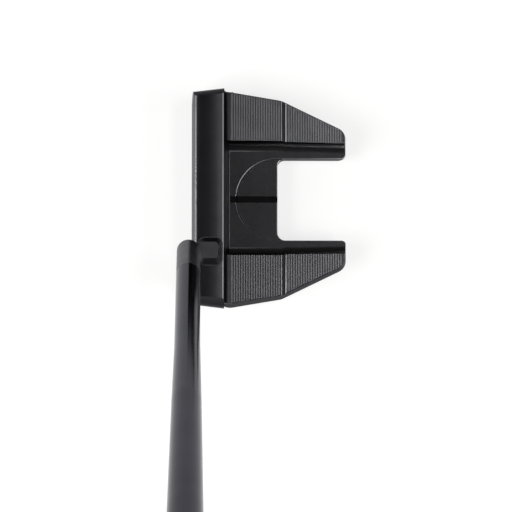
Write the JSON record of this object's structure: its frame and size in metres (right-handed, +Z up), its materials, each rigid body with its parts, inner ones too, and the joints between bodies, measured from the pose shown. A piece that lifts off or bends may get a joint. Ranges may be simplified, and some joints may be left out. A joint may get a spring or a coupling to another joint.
{
  "type": "mallet putter",
  "caption": "Right-handed mallet putter: crowned face bar, two milled wings round an open rear notch, short offset neck, flared steel shaft and pistol grip.",
  "frame": {"origin": "centre of the sole's flat, on the centre line of the sight line, in the plane that rests on the ground", "axes": "+X from the strike face to the rear of the head, +Y to the toe, +Z up out of the sole"},
  "size_m": [0.0879, 0.3842, 0.8385],
  "materials": {
    "body_black": "milled, bead blasted and black anodised",
    "steel_black": "black vapour-deposited coat, satin",
    "pad_rubber": "thin damping sheet",
    "line_fill": "black sight-line fill, flush and glossy",
    "fastener": "machine screws, dark zinc",
    "weight_steel": "turned stainless steel",
    "nylon": "natural nylon",
    "adhesive": "cured epoxy",
    "shaft_chrome": "smoky black chrome, polished",
    "tape": "double-sided masking tape",
    "grip_rubber": "moulded rubber, matte, fine pattern",
    "cap_rubber": "hard moulded rubber"
  },
  "bodies": {
    "root": {"head_body": "body_black", "sole_plate": "steel_black", "damping_pad": "pad_rubber", "sole_screws": "fastener", "toe_weight": "weight_steel", "heel_weight": "weight_steel", "toe_weight_washer": "nylon", "heel_weight_washer": "nylon", "alignment_line": "line_fill", "neck": "steel_black", "neck_screw": "fastener", "shaft_bond": "adhesive", "shaft": "shaft_chrome", "grip_tape": "tape", "grip": "grip_rubber", "grip_cap": "cap_rubber"}
  },
  "joints": []
}
